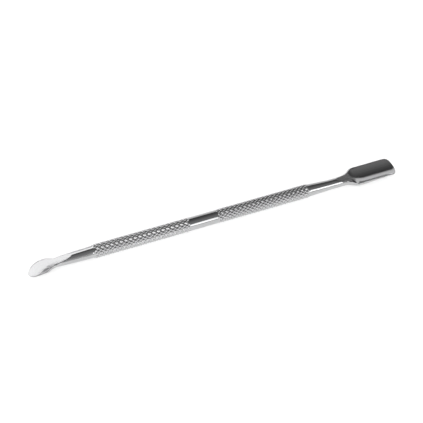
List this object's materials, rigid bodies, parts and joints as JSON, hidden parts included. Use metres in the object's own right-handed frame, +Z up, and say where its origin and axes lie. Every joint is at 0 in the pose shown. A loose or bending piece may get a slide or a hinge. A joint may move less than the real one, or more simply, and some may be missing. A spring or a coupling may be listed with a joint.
{
  "type": "cuticle pusher",
  "caption": "Double-ended steel nail-care tool: knurled round handle with a wide scooped pusher at one end and a small leaf-shaped cleaner blade at the other.",
  "frame": {"origin": "middle of the tool's box, on the plane that the handle lies on", "axes": "+X along the tool towards the scooped pusher, +Y across it, +Z up out of the scoop's hollow"},
  "size_m": [0.1386, 0.008, 0.005],
  "materials": {
    "handle_steel": "polished stainless steel with a diamond knurl",
    "tip_steel": "mirror-polished stainless steel with fine grinding marks"
  },
  "bodies": {
    "root": {"handle": "handle_steel", "pusher_tip": "tip_steel", "cleaner_tip": "tip_steel"}
  },
  "joints": []
}
